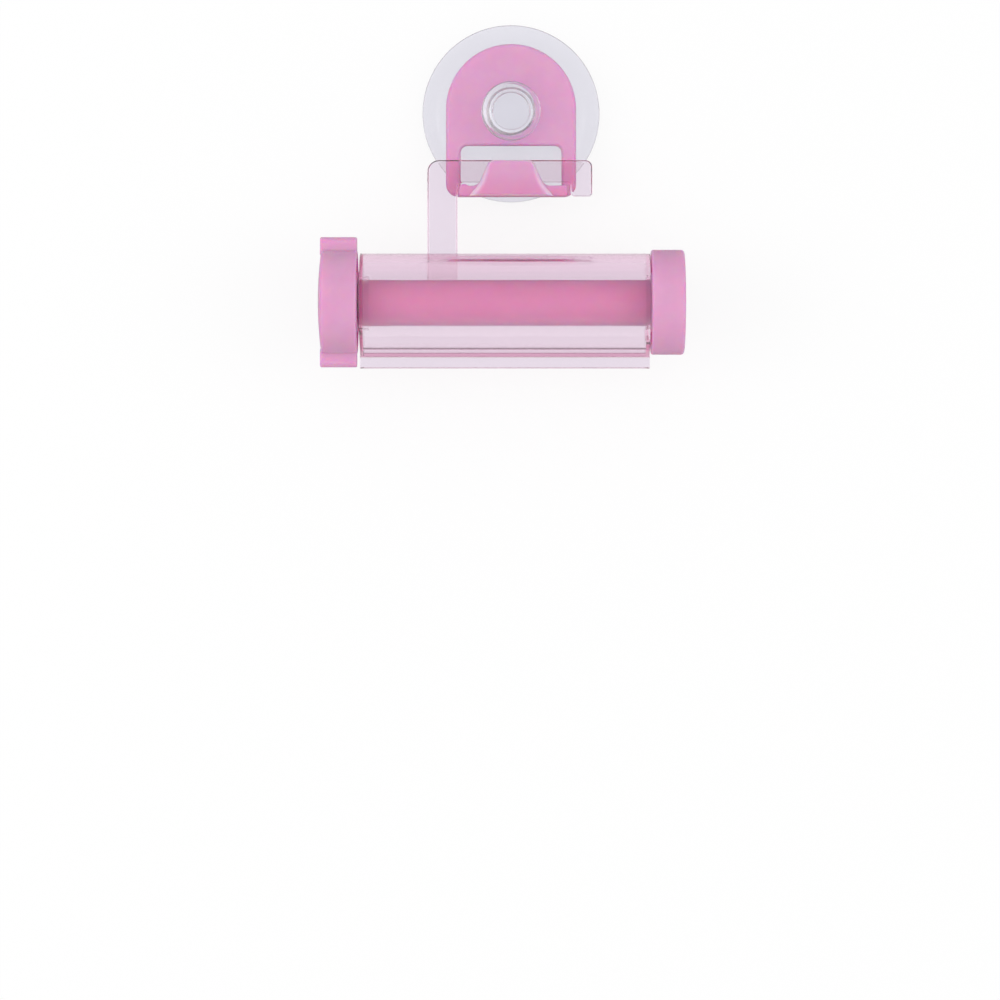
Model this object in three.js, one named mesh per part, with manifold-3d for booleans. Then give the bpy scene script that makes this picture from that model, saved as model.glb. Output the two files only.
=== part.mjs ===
// A wall-hung winder for the flat tail of a soft container. A suction cup carries a hook plate, a tinted clear
// holder hangs in the hook, and a forked spindle turns in the holder between a winged knob and an end cap.
// Millimetres. +Z is up and +Y points into the wall. The origin is the centre of the cup's rim, on the wall.

import * as THREE from "three";
import { mergeVertices } from "three/addons/utils/BufferGeometryUtils.js";
import Module from "manifold-3d";

const wasm = await Module();
wasm.setup();

const GAP = 0.3;
const CHORD_ERROR = 0.025;
const TURN_SEGMENTS = 48;

// Suction cup. Depths run from the wall towards the room.
const CUP_RADIUS = 22.5;
const CUP_LAND_WIDTH = 2.8;
const CUP_EDGE_THICKNESS = 0.9;
const CUP_HOLLOW_DEPTH = 2.6;
const CUP_BOSS_RADIUS = 7.2;
const NECK_RADIUS = 4.1;
const BUTTON_RADIUS = 7.5;
const BUTTON_TIP_RADIUS = 4.9;
const BUTTON_LENGTH = 5;

// Hook plate
const HOOK_BACK = 5.9;
const HOOK_THICKNESS = 2.1;
const HOOK_HALF_WIDTH = 16.45;
const HOOK_TOP = 17.15;
const HOOK_BOTTOM = -21.6;
const HOOK_EDGE = 0.9;
const HOOK_CORNER = 3.2;
const NECK_HOLE_RADIUS = 4.5;
const WINDOW_HALF_WIDTH = 12.75;
const WINDOW_TOP = -8.65;
const WINDOW_CORNER = 1.8;
const SHELF_TOE_RADIUS = 2.6;
const SHELF_EDGE = 0.5;
const SHELF_LEFT = -13.1;
const SHELF_LEFT_TOP = -18.55;
const SHELF_LEFT_CORNER = 1.2;
const SHELF_RIGHT = 14.2;
const SHELF_RIGHT_TOP = -18.85;
const SHELF_RIGHT_CORNER = 0.8;
const SHELF_LOWER_CORNER = 0.7;
const DIP_BOTTOM = -19;
const DIP_OUTER = 11.5;
const DIP_INNER = 10.7;
const DIP_ROUNDING = 0.6;
const DIP_FILLET = 1;
const WINDOW_BOTTOM = DIP_BOTTOM - 0.1;
const TONGUE_TOP = -12.55;
const TONGUE_TOP_HALF_WIDTH = 5.5;
const TONGUE_FOOT_HALF_WIDTH = 8.35;
const TONGUE_CORNER = 2;
const TONGUE_FOOT_FILLET = 2.4;
const TONGUE_THICKNESS = 2.3;
const TONGUE_RISE = 1.3;
const TONGUE_STEPS = 14;

// Holder
const WALL = 1.8;
const SHELL_RADIUS = 12.2;
const SHELL_LEFT = -37.75;
const SHELL_RIGHT = 34.6;
const LEFT_WALL = 0.8;
const THRUST_HEIGHT = 0.45;
const THRUST_RADIUS = 6.6;
const THRUST_SLOPE = 4.2;
const INNER_DROP = 0.45;
const LIP_FRONT = 2.4;
const LIP_BOTTOM = -16.6;
const LIP_ROUNDING = 0.7;
const FLOOR_TOP = -12.5;
const FLOOR_BOTTOM = -13.6;
const FLOOR_FRONT = 4.3;
const FLOOR_EDGE = 0.2;
const FLOOR_FILLET = 0.8;
const BACK_CORNER = 1.2;
const BEARING_RADIUS = 6.75;
const BEARING_LENGTH = 1.4;
const RIGHT_BEARING_LENGTH = 1;
const BRACKET_WIDTH = 1;
const BRACKET_HEIGHT = 8.4;
const END_RIM_WIDTH = 0.8;
const END_RIM_LENGTH = 1;
const BORE_RADIUS = 6.1;
const HANGER_BACK = HOOK_BACK + HOOK_THICKNESS + 0.4;
const HANGER_EDGE = 0.75;
const ARM_LEFT = -21.15;
const ARM_RIGHT = -13.5;
const ARM_FOOT = -6;
const ARM_CORNER = 3;
const ARM_FILLET = 1.45;
const LUG_LEFT = 15;
const LUG_RIGHT = 20.5;
const LUG_BOTTOM = -21.6;
const LUG_CORNER = 1;
const LUG_FILLET = 0.8;
const BAR_TOP = -12.4;
const BAR_BOTTOM = -18.1;
const BAR_END_CORNER = 1.8;

// Spindle, knob and end cap, all on the spindle's axis
const AXIS_DEPTH = HANGER_BACK + SHELL_RADIUS;
const AXIS_HEIGHT = -48.76;
const SPINDLE_RADIUS = 5.75;
const TANG_SIDE = 7.2;
const TANG_LENGTH = 6;
const PRONG_TIP_RADIUS = 5.2;
const PRONG_TIP_LENGTH = 5.4;
const SLOT_WIDTH = 2;
const SLOT_START = -30;
const KNOB_FACE = SHELL_LEFT - 0.7;
const KNOB_RADIUS = 13;
const KNOB_THICKNESS = 9.85;
const KNOB_DOME = 0.75;
const WING_REACH = 16.25;
const WING_WIDTH = 5;
const WING_THICKNESS = 9.2;
const WING_EDGE = 0.35;
const WING_CORNER = 1.8;
const CAP_FACE = SHELL_RIGHT + 0.35;
const CAP_RADIUS = 13.1;
const CAP_THICKNESS = 8.65;
const CAP_DOME = 0.35;
const HUB_RADIUS = 7.4;
const RIM_WIDTH = 1.9;
const CORE_DRAFT = 0.25;
const SOCKET_DEPTH = 6.5;

const HOOK_FRONT = HOOK_BACK + HOOK_THICKNESS;
const HANGER_FRONT = HANGER_BACK + WALL;
const TONGUE_BACK = HANGER_FRONT + 0.5;
const TONGUE_FRONT = TONGUE_BACK + TONGUE_THICKNESS;

const X_AXIS = new THREE.Vector3(1, 0, 0);
const Y_AXIS = new THREE.Vector3(0, 1, 0);
const Z_AXIS = new THREE.Vector3(0, 0, 1);
const FRONT_VIEW = new THREE.Matrix4().makeBasis(X_AXIS, Z_AXIS, Y_AXIS.clone().negate());
const SIDE_VIEW = new THREE.Matrix4().makeBasis(Y_AXIS, Z_AXIS, X_AXIS);

// A closed geometry as a solid that can be joined and cut.
function solid(geometry) {
  const bare = new THREE.BufferGeometry();
  const flat = geometry.index ? geometry.toNonIndexed() : geometry;
  bare.setAttribute("position", flat.getAttribute("position"));
  const merged = mergeVertices(bare, 1e-4);
  return new wasm.Manifold(
    new wasm.Mesh({
      numProp: 3,
      vertProperties: merged.attributes.position.array,
      triVerts: new Uint32Array(merged.index.array),
    }),
  );
}

// A named mesh of a finished solid.
function piece(name, body, material) {
  const made = body.getMesh();
  const geometry = new THREE.BufferGeometry();
  geometry.setAttribute("position", new THREE.BufferAttribute(made.vertProperties, 3));
  geometry.setIndex(new THREE.BufferAttribute(made.triVerts, 1));
  geometry.computeVertexNormals();
  const mesh = new THREE.Mesh(geometry, material);
  mesh.name = name;
  return mesh;
}

// Points along an arc, close enough together to stay within the chord error.
function arc(x, y, radius, from, to) {
  const step = 2 * Math.acos(1 - CHORD_ERROR / radius);
  const count = Math.ceil(Math.abs(to - from) / step);
  return Array.from({ length: count + 1 }, (_, i) => {
    const angle = from + ((to - from) * i) / count;
    return new THREE.Vector2(x + radius * Math.cos(angle), y + radius * Math.sin(angle));
  });
}

// A counterclockwise outline through corners [x, y, radius], each rounded by its radius.
function roundedOutline(corners) {
  return corners.flatMap(([x, y, radius], i) => {
    const corner = new THREE.Vector2(x, y);
    if (!radius) return [corner];
    const back = new THREE.Vector2(...corners.at(i - 1)).sub(corner).normalize();
    const ahead = new THREE.Vector2(...corners[(i + 1) % corners.length]).sub(corner).normalize();
    const half = Math.acos(back.dot(ahead)) / 2;
    const middle = back.clone().add(ahead).normalize();
    const centre = corner.clone().addScaledVector(middle, radius / Math.sin(half));
    const start = corner.clone().addScaledVector(back, radius / Math.tan(half)).sub(centre).angle();
    const turn = (Math.PI - 2 * half) * (back.cross(ahead) < 0 ? 1 : -1);
    return arc(centre.x, centre.y, radius, start, start + turn);
  });
}

// An outline on both sides of x = 0 from the corners of its right half, bottom to top, and those of its left half,
// given as their mirror images where the halves differ.
function mirroredOutline(rightHalf, mirroredLeftHalf = rightHalf) {
  const leftHalf = mirroredLeftHalf.map(([x, y, radius]) => [-x, y, radius]).reverse();
  return roundedOutline([...rightHalf, ...leftHalf]);
}

// A line of points without a length at its start.
function trimmed(points, length) {
  const rest = [...points];
  while (rest.length > 2 && rest[0].distanceTo(rest[1]) <= length) {
    length -= rest[0].distanceTo(rest[1]);
    rest.shift();
  }
  rest[0] = rest[0].clone().lerp(rest[1], length / rest[0].distanceTo(rest[1]));
  return rest;
}

// A closed outline from lines that meet end to end, each corner eased over its reach on both sides.
function blendedOutline(lines, reaches) {
  const parts = lines.map((line, i) => trimmed(trimmed(line, reaches.at(i - 1)).reverse(), reaches[i]).reverse());
  return parts.flatMap((part, i) => {
    const next = parts[(i + 1) % parts.length][0];
    const corner = new THREE.QuadraticBezierCurve(part.at(-1), lines[i].at(-1), next);
    return [...part, ...corner.getPoints(3).slice(1, -1)];
  });
}

// An outline in X and Z made solid between two depths, with its edges rounded.
function slab(outline, back, front, edge = 0, holes = []) {
  const shape = new THREE.Shape(outline);
  shape.holes = holes.map((hole) => new THREE.Path(hole));
  const geometry = new THREE.ExtrudeGeometry(shape, {
    depth: front - back - 2 * edge,
    bevelEnabled: edge > 0,
    bevelThickness: edge,
    bevelSize: edge,
    bevelOffset: -edge,
    bevelSegments: 2,
  });
  geometry.translate(0, 0, back + edge);
  return solid(geometry.applyMatrix4(FRONT_VIEW));
}

// A solid through matching outlines in X and Z, given as rows of [depth, outline].
function loft(rows) {
  const count = rows[0][1].length;
  const points = rows.flatMap(([depth, outline]) => outline.map(({ x, y }) => new THREE.Vector3(x, y, depth)));
  const last = (rows.length - 1) * count;
  const cap = (outline) => THREE.ShapeUtils.triangulateShape(outline, []);
  const back = cap(rows[0][1]).map(([a, b, c]) => [a, c, b]);
  const front = cap(rows.at(-1)[1]).map((face) => face.map((corner) => corner + last));
  const sides = points.slice(0, last).flatMap((_, i) => {
    const next = i % count === count - 1 ? i + 1 - count : i + 1;
    return [
      [i, next, next + count],
      [i, next + count, i + count],
    ];
  });
  const geometry = new THREE.BufferGeometry().setFromPoints(points);
  geometry.setIndex([...back, ...front, ...sides].flat());
  return solid(geometry.applyMatrix4(FRONT_VIEW));
}

// An outline in Y and Z made solid from one X to another.
function bar(outline, left, right) {
  const geometry = new THREE.ExtrudeGeometry(new THREE.Shape(outline), {
    depth: right - left,
    bevelEnabled: false,
  });
  geometry.translate(0, 0, left);
  return solid(geometry.applyMatrix4(SIDE_VIEW));
}

// A profile of [radius, distance along X] turned about the X axis.
function turned(profile) {
  const points = profile.map(([radius, x]) => new THREE.Vector2(radius, x));
  return solid(new THREE.LatheGeometry(points, TURN_SEGMENTS).rotateZ(-Math.PI / 2));
}

function rod(radius, left, right) {
  return turned([
    [0, left],
    [radius, left],
    [radius, right],
    [0, right],
  ]);
}

function block(left, right, depth, height) {
  return solid(new THREE.BoxGeometry(right - left, depth, height).translate((left + right) / 2, 0, 0));
}

// Soft cup with a hollow back, a neck that the hook plate turns on, and a button that keeps the plate there.
function suctionCup() {
  const bossTop = HOOK_BACK - GAP;
  const buttonBack = HOOK_FRONT + GAP;
  const tip = buttonBack + BUTTON_LENGTH;
  const landInner = CUP_RADIUS - CUP_LAND_WIDTH;
  const dome = new THREE.SplineCurve([
    new THREE.Vector2(CUP_BOSS_RADIUS + 0.9, 4.35),
    new THREE.Vector2(9.4, 3.75),
    new THREE.Vector2(12, 3.05),
    new THREE.Vector2(15, 2.25),
    new THREE.Vector2(18.5, 1.5),
    new THREE.Vector2(CUP_RADIUS - 0.5, CUP_EDGE_THICKNESS),
  ]);
  const hollow = Array.from({ length: 7 }, (_, i) => {
    const radius = landInner * (1 - i / 6);
    return [radius, CUP_HOLLOW_DEPTH * (1 - (radius / landInner) ** 2)];
  });
  const profile = [
    [0, tip],
    [BUTTON_TIP_RADIUS - 0.15, tip],
    [BUTTON_TIP_RADIUS, tip - 0.15],
    [BUTTON_TIP_RADIUS + 0.15, tip - 0.5],
    [BUTTON_RADIUS - 1.2, tip - 1.6],
    [BUTTON_RADIUS - 0.25, tip - 2.6],
    [BUTTON_RADIUS, tip - 3.4],
    [BUTTON_RADIUS, buttonBack + 0.6],
    [BUTTON_RADIUS - 0.15, buttonBack + 0.2],
    [BUTTON_RADIUS - 0.5, buttonBack],
    [NECK_RADIUS, buttonBack],
    [NECK_RADIUS, bossTop],
    [CUP_BOSS_RADIUS - 0.4, bossTop],
    [CUP_BOSS_RADIUS, bossTop - 0.4],
    [CUP_BOSS_RADIUS + 0.2, 4.9],
    ...dome.getPoints(9).map((point) => [point.x, point.y]),
    [CUP_RADIUS, 0.5],
    [CUP_RADIUS - 0.2, 0],
    ...hollow,
  ];
  const points = profile.map(([radius, depth]) => new THREE.Vector2(radius, -depth));
  return solid(new THREE.LatheGeometry(points, TURN_SEGMENTS + 12));
}

// A smooth line on both sides of x = 0, closed across its bottom and its top.
function mirroredSpline(rightHalf) {
  const side = new THREE.SplineCurve(rightHalf.map((point) => new THREE.Vector2(...point))).getPoints(TONGUE_STEPS);
  return [...side, ...side.map(({ x, y }) => new THREE.Vector2(-x, y)).reverse()];
}

// The tongue's raised middle: its sides flare towards the shelf and slope in from the base to a narrower front.
function tongueMiddle() {
  const below = HOOK_BOTTOM - 1;
  const base = mirroredSpline([
    [11.3, below],
    [10.3, -20.9],
    [8.95, -19.4],
    [7.85, -17.9],
    [6.65, -15.2],
    [5.85, -13.5],
    [5.1, TONGUE_TOP - 0.2],
    [4.2, TONGUE_TOP],
  ]);
  const face = mirroredSpline([
    [8.9, below],
    [7.6, -20.9],
    [6.65, -19.4],
    [6.05, -18],
    [5.6, -15.9],
    [5.3, -14.3],
    [4.7, TONGUE_TOP - 0.75],
    [3.8, TONGUE_TOP - 0.5],
  ]);
  const slope = [0, 0.25, 0.5, 0.75, 1].map((share) => {
    const angle = (share * Math.PI) / 2;
    const row = base.map((point, i) => point.clone().lerp(face[i], 1 - Math.cos(angle)));
    return [TONGUE_FRONT - TONGUE_RISE * (1 - Math.sin(angle)), row];
  });
  return loft([[TONGUE_BACK + GAP, base], ...slope]);
}

// D-shaped plate with a window, a shelf along the window's foot and a tongue that rises from the shelf's front.
// The shelf dips between its left end and the tongue.
function hookPlate() {
  const outline = mirroredOutline([
    [HOOK_HALF_WIDTH, HOOK_BOTTOM, HOOK_CORNER],
    [HOOK_HALF_WIDTH, HOOK_TOP, HOOK_HALF_WIDTH],
  ]);
  const window = mirroredOutline([
    [WINDOW_HALF_WIDTH, WINDOW_BOTTOM, SHELF_LOWER_CORNER],
    [WINDOW_HALF_WIDTH, WINDOW_TOP, WINDOW_CORNER],
  ]);
  const neckHole = arc(0, 0, NECK_HOLE_RADIUS, 0, 2 * Math.PI).slice(1);
  const rightEnd = [
    [SHELF_RIGHT, HOOK_BOTTOM, SHELF_LOWER_CORNER],
    [SHELF_RIGHT, SHELF_RIGHT_TOP, SHELF_RIGHT_CORNER],
  ];
  const leftEnd = [
    [-SHELF_LEFT, HOOK_BOTTOM, SHELF_LOWER_CORNER],
    [-SHELF_LEFT, SHELF_LEFT_TOP, SHELF_LEFT_CORNER],
    [DIP_OUTER, SHELF_LEFT_TOP, DIP_ROUNDING],
    [DIP_INNER, DIP_BOTTOM, DIP_FILLET],
  ];
  const tongueSide = [
    [TONGUE_FOOT_HALF_WIDTH, DIP_BOTTOM, TONGUE_FOOT_FILLET],
    [TONGUE_TOP_HALF_WIDTH, TONGUE_TOP, TONGUE_CORNER],
  ];
  const shelfOutline = mirroredOutline([...rightEnd, [TONGUE_FOOT_HALF_WIDTH, DIP_BOTTOM, 0]], leftEnd);
  const tongueOutline = mirroredOutline([...rightEnd, ...tongueSide], [...leftEnd, ...tongueSide]);
  const side = roundedOutline([
    [-TONGUE_FRONT - 1, HOOK_BOTTOM, SHELF_TOE_RADIUS],
    [-HOOK_BACK - HOOK_EDGE, HOOK_BOTTOM, 0],
    [-HOOK_BACK - HOOK_EDGE, TONGUE_TOP + 1, 0],
    [-TONGUE_FRONT - 1, TONGUE_TOP + 1, 0],
  ]);
  const reach = slab(tongueOutline, TONGUE_BACK, TONGUE_FRONT - TONGUE_RISE + 0.1, SHELF_EDGE)
    .add(tongueMiddle())
    .add(slab(shelfOutline, HOOK_FRONT - HOOK_EDGE, TONGUE_BACK + SHELF_EDGE))
    .intersect(bar(side, -HOOK_HALF_WIDTH, HOOK_HALF_WIDTH));
  return slab(outline, HOOK_BACK, HOOK_FRONT, HOOK_EDGE, [window, neckHole]).add(reach);
}

// The trough's section about the spindle's axis, with the back at +Y: round over the front and the top, straight
// down the back, a floor that leaves a slot behind the lip, and the lip. The round wall thins towards the lip.
function shellSection() {
  const inner = SHELL_RADIUS - WALL;
  const lipInner = WALL - LIP_FRONT;
  const innerRadius = inner + INNER_DROP;
  const innerStart = Math.acos(inner / innerRadius) - 2 * Math.PI;
  const innerEnd = Math.asin(lipInner / innerRadius) - Math.PI / 2;
  const outerArc = arc(0, 0, SHELL_RADIUS, -Math.PI / 2 - Math.asin(LIP_FRONT / SHELL_RADIUS), -2 * Math.PI);
  const innerArc = arc(0, -INNER_DROP, innerRadius, innerStart, innerEnd);
  const line = (...points) => points.map(([y, z]) => new THREE.Vector2(y, z));
  const lines = [
    outerArc,
    line([SHELL_RADIUS, 0], [SHELL_RADIUS, FLOOR_BOTTOM]),
    line([SHELL_RADIUS, FLOOR_BOTTOM], [FLOOR_FRONT, FLOOR_BOTTOM]),
    line([FLOOR_FRONT, FLOOR_BOTTOM], [FLOOR_FRONT, FLOOR_TOP]),
    line([FLOOR_FRONT, FLOOR_TOP], [inner, FLOOR_TOP]),
    [new THREE.Vector2(inner, FLOOR_TOP), innerArc[0]],
    innerArc,
    [innerArc.at(-1), new THREE.Vector2(lipInner, LIP_BOTTOM)],
    line([lipInner, LIP_BOTTOM], [-LIP_FRONT, LIP_BOTTOM]),
    [new THREE.Vector2(-LIP_FRONT, LIP_BOTTOM), outerArc[0]],
  ];
  const floorCorners = [BACK_CORNER, FLOOR_EDGE, FLOOR_EDGE, FLOOR_FILLET];
  const lipCorners = new Array(4).fill(LIP_ROUNDING);
  return blendedOutline(lines, [LIP_ROUNDING, ...floorCorners, LIP_ROUNDING, ...lipCorners]);
}

// The hanger: an arm from the trough's back, a bar that lies in the hook, and a lug at the bar's free end.
function hanger() {
  const rise = (height) => height - AXIS_HEIGHT;
  const outline = roundedOutline([
    [ARM_LEFT, ARM_FOOT, 0],
    [ARM_RIGHT, ARM_FOOT, 0],
    [ARM_RIGHT, rise(BAR_BOTTOM), ARM_FILLET],
    [LUG_LEFT, rise(BAR_BOTTOM), LUG_FILLET],
    [LUG_LEFT, rise(LUG_BOTTOM), LUG_CORNER],
    [LUG_RIGHT, rise(LUG_BOTTOM), LUG_CORNER],
    [LUG_RIGHT, rise(BAR_TOP), BAR_END_CORNER],
    [ARM_LEFT, rise(BAR_TOP), ARM_CORNER],
  ]);
  return slab(outline, -SHELL_RADIUS, WALL - SHELL_RADIUS, HANGER_EDGE);
}

// One moulding: a trough round the spindle, a left end wall with a bearing and a thrust face for the knob, a rim and
// a bracketed bearing at the right end, and the hanger.
function holderShell() {
  const middle = SHELL_RADIUS - INNER_DROP;
  const crease = -Math.PI / 2 - Math.asin(LIP_FRONT / SHELL_RADIUS);
  const foot = (FLOOR_TOP + FLOOR_BOTTOM) / 2;
  const endWall = [
    ...arc(0, 0, middle, crease, -2 * Math.PI),
    new THREE.Vector2(middle, foot),
    new THREE.Vector2(FLOOR_FRONT + FLOOR_EDGE, foot),
  ];
  const bearingEnd = SHELL_LEFT + LEFT_WALL + BEARING_LENGTH;
  const leftBearing = turned([
    [0, SHELL_LEFT - THRUST_HEIGHT],
    [THRUST_RADIUS, SHELL_LEFT - THRUST_HEIGHT],
    [THRUST_RADIUS + THRUST_SLOPE, SHELL_LEFT + 0.1],
    [BEARING_RADIUS, SHELL_LEFT + 0.1],
    [BEARING_RADIUS, bearingEnd],
    [0, bearingEnd],
  ]);
  const rim = bar(endWall, SHELL_RIGHT - END_RIM_LENGTH, SHELL_RIGHT).subtract(
    rod(SHELL_RADIUS - WALL - END_RIM_WIDTH, SHELL_LEFT, SHELL_RIGHT + 1),
  );
  const bracket = block(SHELL_RIGHT - BRACKET_WIDTH, SHELL_RIGHT, middle, BRACKET_HEIGHT);
  return bar(shellSection(), SHELL_LEFT, SHELL_RIGHT)
    .add(bar(endWall, SHELL_LEFT, SHELL_LEFT + LEFT_WALL))
    .add(leftBearing)
    .add(rim)
    .add(rod(BEARING_RADIUS, SHELL_RIGHT - RIGHT_BEARING_LENGTH, SHELL_RIGHT))
    .add(bracket.translate(0, middle / 2, 0))
    .add(hanger())
    .subtract(rod(BORE_RADIUS, SHELL_LEFT - 1, SHELL_RIGHT + 1));
}

// Round rod with a square tang for the knob, split from its free end into two prongs that grip what is wound.
function splitSpindle() {
  const left = KNOB_FACE + GAP;
  const shoulder = CAP_FACE - GAP;
  const right = shoulder + PRONG_TIP_LENGTH;
  const bevel = 0.4;
  const body = turned([
    [0, left],
    [SPINDLE_RADIUS - bevel, left],
    [SPINDLE_RADIUS, left + bevel],
    [SPINDLE_RADIUS, shoulder],
    [PRONG_TIP_RADIUS, shoulder],
    [PRONG_TIP_RADIUS, right - bevel],
    [PRONG_TIP_RADIUS - bevel, right],
    [0, right],
  ]);
  const slotEnd = solid(
    new THREE.CylinderGeometry(SLOT_WIDTH / 2, SLOT_WIDTH / 2, 3 * SPINDLE_RADIUS, 16)
      .rotateX(Math.PI / 2)
      .translate(SLOT_START, 0, 0),
  );
  return body
    .add(block(left - TANG_LENGTH, left + 1, TANG_SIDE, TANG_SIDE))
    .subtract(block(SLOT_START, right + 1, SLOT_WIDTH, 3 * SPINDLE_RADIUS))
    .subtract(slotEnd);
}

// Domed disc, cored out behind its rim round a central hub. Its open face is at x = 0 and its dome at +X.
function coredDisc(radius, thickness, dome) {
  const edge = 0.9;
  const shoulder = thickness - dome;
  const coreDepth = thickness - dome - 2.2;
  const corner = arc(radius - edge, shoulder - edge, edge, 0, Math.PI / 2).slice(0, -1);
  const crown = Array.from({ length: 7 }, (_, i) => {
    const share = 1 - i / 6;
    return [(radius - edge) * share, thickness - dome * share ** 2];
  });
  return turned([
    [0, 0],
    [HUB_RADIUS, 0],
    [HUB_RADIUS + CORE_DRAFT, coreDepth],
    [radius - RIM_WIDTH - CORE_DRAFT, coreDepth],
    [radius - RIM_WIDTH, 0],
    [radius - GAP, 0],
    [radius, GAP],
    ...corner.map((point) => [point.x, point.y]),
    ...crown,
  ]);
}

// Knob with two wings for finger and thumb, and a square socket for the spindle's tang.
function windingKnob() {
  const wing = roundedOutline([
    [-WING_WIDTH / 2, KNOB_RADIUS - 1.4, 0],
    [WING_WIDTH / 2, KNOB_RADIUS - 1.4, 0],
    [WING_WIDTH / 2, WING_REACH, WING_CORNER],
    [-WING_WIDTH / 2, WING_REACH, WING_CORNER],
  ]);
  const geometry = new THREE.ExtrudeGeometry(new THREE.Shape(wing), {
    depth: WING_THICKNESS - 2 * WING_EDGE,
    bevelThickness: WING_EDGE,
    bevelSize: WING_EDGE,
    bevelOffset: -WING_EDGE,
    bevelSegments: 2,
  });
  geometry.translate(0, 0, WING_EDGE + 0.1);
  const upperWing = solid(geometry.clone().applyMatrix4(SIDE_VIEW));
  const lowerWing = solid(geometry.rotateZ(Math.PI).applyMatrix4(SIDE_VIEW));
  const socketSide = TANG_SIDE + 2 * GAP;
  return coredDisc(KNOB_RADIUS, KNOB_THICKNESS, KNOB_DOME)
    .add(upperWing)
    .add(lowerWing)
    .subtract(block(-1, SOCKET_DEPTH, socketSide, socketSide));
}

// Plain cap whose socket holds both prong tips, with a web between them so that it turns with the spindle.
function endCap() {
  const socketRadius = PRONG_TIP_RADIUS + GAP;
  return coredDisc(CAP_RADIUS, CAP_THICKNESS, CAP_DOME)
    .subtract(rod(socketRadius, -1, SOCKET_DEPTH))
    .add(block(1.2, SOCKET_DEPTH + 0.5, SLOT_WIDTH - 2 * GAP, 2 * socketRadius + 1));
}

const pinkPlastic = { color: 0xdc9ec5, roughness: 0.38, metalness: 0 };
const tintedClear = { color: 0xe6cfe0, roughness: 0.12, metalness: 0, transparent: true, opacity: 0.5 };
const clearVinyl = { color: 0xe2e1e9, roughness: 0.15, metalness: 0, transparent: true, opacity: 0.45 };
const finish = (look) => new THREE.MeshStandardMaterial(look);

const squeezer = new THREE.Group();
squeezer.name = "tube_squeezer";

const wallFitting = new THREE.Group();
wallFitting.name = "wall_fitting";
wallFitting.add(piece("suction_cup", suctionCup(), finish(clearVinyl)));
wallFitting.add(piece("hook_plate", hookPlate(), finish(pinkPlastic)));
squeezer.add(wallFitting);

const holder = new THREE.Group();
holder.name = "holder";
holder.position.set(0, -AXIS_DEPTH, AXIS_HEIGHT);
holder.add(piece("holder_shell", holderShell(), finish(tintedClear)));
squeezer.add(holder);

const windingKey = new THREE.Group();
windingKey.name = "winding_key";
windingKey.add(piece("split_spindle", splitSpindle(), finish(pinkPlastic)));
const knob = piece("winding_knob", windingKnob(), finish(pinkPlastic));
knob.position.x = KNOB_FACE;
knob.rotation.z = Math.PI;
windingKey.add(knob);
const cap = piece("end_cap", endCap(), finish(pinkPlastic));
cap.position.x = CAP_FACE;
windingKey.add(cap);
holder.add(windingKey);

export default squeezer;
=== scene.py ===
"""The looks of a wall-hung winder: clear suction cup, pink hook plate, tinted clear holder, pink winding key.

Each piece is a fine mesh in place of one node of the frame. Sizes are in millimetres until a mesh is made.
"""

import math

import bmesh
import bpy
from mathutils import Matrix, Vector


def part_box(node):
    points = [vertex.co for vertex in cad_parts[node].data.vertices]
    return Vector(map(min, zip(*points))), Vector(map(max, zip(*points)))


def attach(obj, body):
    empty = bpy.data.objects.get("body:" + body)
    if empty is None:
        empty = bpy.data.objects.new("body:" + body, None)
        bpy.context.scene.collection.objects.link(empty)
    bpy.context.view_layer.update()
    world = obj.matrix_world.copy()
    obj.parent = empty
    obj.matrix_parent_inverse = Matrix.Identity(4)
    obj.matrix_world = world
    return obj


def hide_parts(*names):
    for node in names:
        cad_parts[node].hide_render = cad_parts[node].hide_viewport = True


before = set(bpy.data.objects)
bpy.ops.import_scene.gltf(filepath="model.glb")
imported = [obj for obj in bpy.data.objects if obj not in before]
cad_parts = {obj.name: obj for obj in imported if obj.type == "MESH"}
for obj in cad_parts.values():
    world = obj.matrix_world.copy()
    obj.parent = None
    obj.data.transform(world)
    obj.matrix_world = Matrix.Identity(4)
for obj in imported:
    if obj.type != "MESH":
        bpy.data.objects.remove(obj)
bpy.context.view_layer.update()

MM = 0.001
CHORD_ERROR = 0.004
SMALLEST_RADIUS = 0.05
FEWEST_ARC_STEPS = 3
ROUND_STEPS = 5
CURVE_STEPS = 6
EASING_STEPS = 8
CROWN_STEPS = 24
ROD_SEGMENTS = 128
DISC_SEGMENTS = 160
SAME_POINT = 1e-4
SAME_VERTEX = 1e-5
ON_AXIS = 1e-6
MITRE_LIMIT = 0.3
LONGEST_TRIM = 0.9
SHARP_ANGLE = math.radians(32)


def box_mm(node):
    """A node's lowest and highest corners in millimetres."""
    return [Vector(corner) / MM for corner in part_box(node)]


CUP_LOW, CUP_HIGH = box_mm("suction_cup")
HOOK_LOW, HOOK_HIGH = box_mm("hook_plate")
SHELL_HIGH = box_mm("holder_shell")[1]
SPINDLE_LOW, SPINDLE_HIGH = box_mm("split_spindle")
KNOB_LOW, KNOB_HIGH = box_mm("winding_knob")
CAP_LOW, CAP_HIGH = box_mm("end_cap")

# The space between pieces, the overlap of joined solids, and how far a cut reaches past a piece
GAP = 0.3
JOINED = 0.1
PAST = 1
HOOK_THICKNESS = 2.1
HOOK_BACK = -HOOK_HIGH.y
HOOK_FRONT = HOOK_BACK + HOOK_THICKNESS
AXIS_Y = (SPINDLE_LOW.y + SPINDLE_HIGH.y) / 2
AXIS_Z = (SPINDLE_LOW.z + SPINDLE_HIGH.z) / 2


# Outlines


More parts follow.
